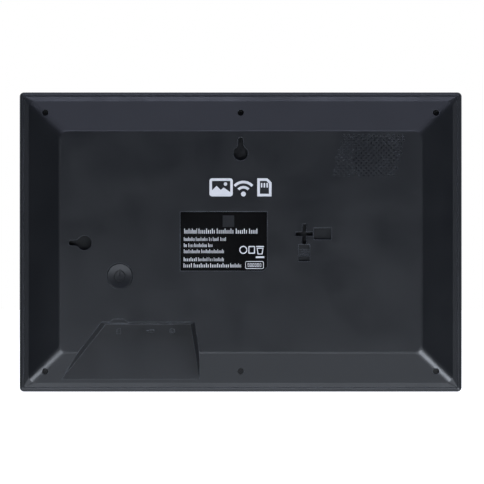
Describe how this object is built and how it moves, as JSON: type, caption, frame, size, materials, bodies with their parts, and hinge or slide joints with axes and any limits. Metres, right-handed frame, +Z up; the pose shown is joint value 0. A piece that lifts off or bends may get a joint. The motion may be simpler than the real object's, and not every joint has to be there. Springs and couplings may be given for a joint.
{
  "type": "digital photo frame",
  "caption": "Landscape digital photo frame with a touch display, a raised rear panel with sloped sides, a port bay, wall keyholes, a stand socket and a power button.",
  "frame": {"origin": "middle of the bottom edge, at half the depth", "axes": "+X to the right of someone facing the screen, -Y the way the screen faces, +Z up in landscape"},
  "size_m": [0.254, 0.023, 0.172],
  "materials": {
    "bezel_plastic": "fine matt moulded ABS",
    "cover_plastic": "fine matt moulded ABS",
    "button_plastic": "satin moulded ABS",
    "label_film": "printed black polyester film",
    "screw_steel": "black oxide steel",
    "bright_steel": "bright zinc-plated steel",
    "sheet_steel": "tinned sheet steel",
    "cover_glass": "clear glass with a black printed border behind it",
    "display_glass": "thin display glass",
    "polarizer_film": "dark polarizing film",
    "clear_film": "frosted optical film",
    "clear_acrylic": "clear acrylic",
    "white_film": "white reflecting film",
    "white_plastic": "white moulded polycarbonate",
    "lamp_phosphor": "yellow phosphor over a white body",
    "flex_film": "amber polyimide film",
    "foam": "black closed-cell foam",
    "tape": "black double-sided tape",
    "board_laminate": "green solder resist over glass-epoxy laminate",
    "aerial_film": "black film over copper foil",
    "chip_resin": "black epoxy resin",
    "ceramic": "tan ceramic with tinned ends",
    "radio_lid": "tinned steel lid",
    "black_resin": "black moulded nylon",
    "plated_brass": "nickel-plated brass",
    "paper_cone": "black treated paper, stood in for by plastic",
    "magnet_ferrite": "ferrite magnet in a steel pot",
    "lead_jacket": "thin PVC insulation",
    "coax_jacket": "black coaxial jacket"
  },
  "bodies": {
    "frame": {"aerial": "aerial_film", "aerial_lead": "coax_jacket", "backlight_leds": "lamp_phosphor", "backlight_strip": "flex_film", "board_screws": "bright_steel", "bracket_screws": "bright_steel", "capacitors": "ceramic", "card_socket": "sheet_steel", "colour_filter_glass": "display_glass", "diffuser_sheet": "clear_film", "display_back_pan": "sheet_steel", "display_brackets": "sheet_steel", "display_connector": "white_plastic", "display_drivers": "chip_resin", "display_flex": "flex_film", "display_frame": "white_plastic", "display_gasket": "foam", "front_bezel": "bezel_plastic", "front_polarizer": "polarizer_film", "glass_tape": "tape", "housing_screws": "screw_steel", "inlet_pin": "plated_brass", "light_guide": "clear_acrylic", "lower_prism_sheet": "clear_film", "main_board": "board_laminate", "memory_chips": "chip_resin", "power_coils": "chip_resin", "power_inlet": "black_resin", "processor": "chip_resin", "rating_label": "label_film", "rear_cover": "cover_plastic", "rear_polarizer": "polarizer_film", "reflector_sheet": "white_film", "shield_can": "sheet_steel", "speaker_cone": "paper_cone", "speaker_connector": "white_plastic", "speaker_frame": "sheet_steel", "speaker_gasket": "foam", "speaker_leads": "lead_jacket", "speaker_magnet": "magnet_ferrite", "speaker_screws": "bright_steel", "switch_base": "chip_resin", "touch_connector": "white_plastic", "touch_flex": "flex_film", "touch_glass": "cover_glass", "transistor_glass": "display_glass", "upper_prism_sheet": "clear_film", "usb_socket": "sheet_steel", "usb_tongue": "black_resin", "wireless_module": "radio_lid"},
    "button": {"power_button": "button_plastic"},
    "plunger": {"switch_plunger": "black_resin"}
  },
  "joints": [
    {"name": "power_button_press", "type": "slide", "parent": "frame", "child": "button", "axis": [0, -1, 0], "range_m": [0, 0.0004], "stiffness_N_per_m": 1500, "springref_m": -0.0004},
    {"name": "switch_plunger_press", "type": "slide", "parent": "frame", "child": "plunger", "axis": [0, -1, 0], "range_m": [0, 0.0004]}
  ],
  "couplings": [
    {"joint": "switch_plunger_press", "follows": "power_button_press", "ratio": 1}
  ]
}
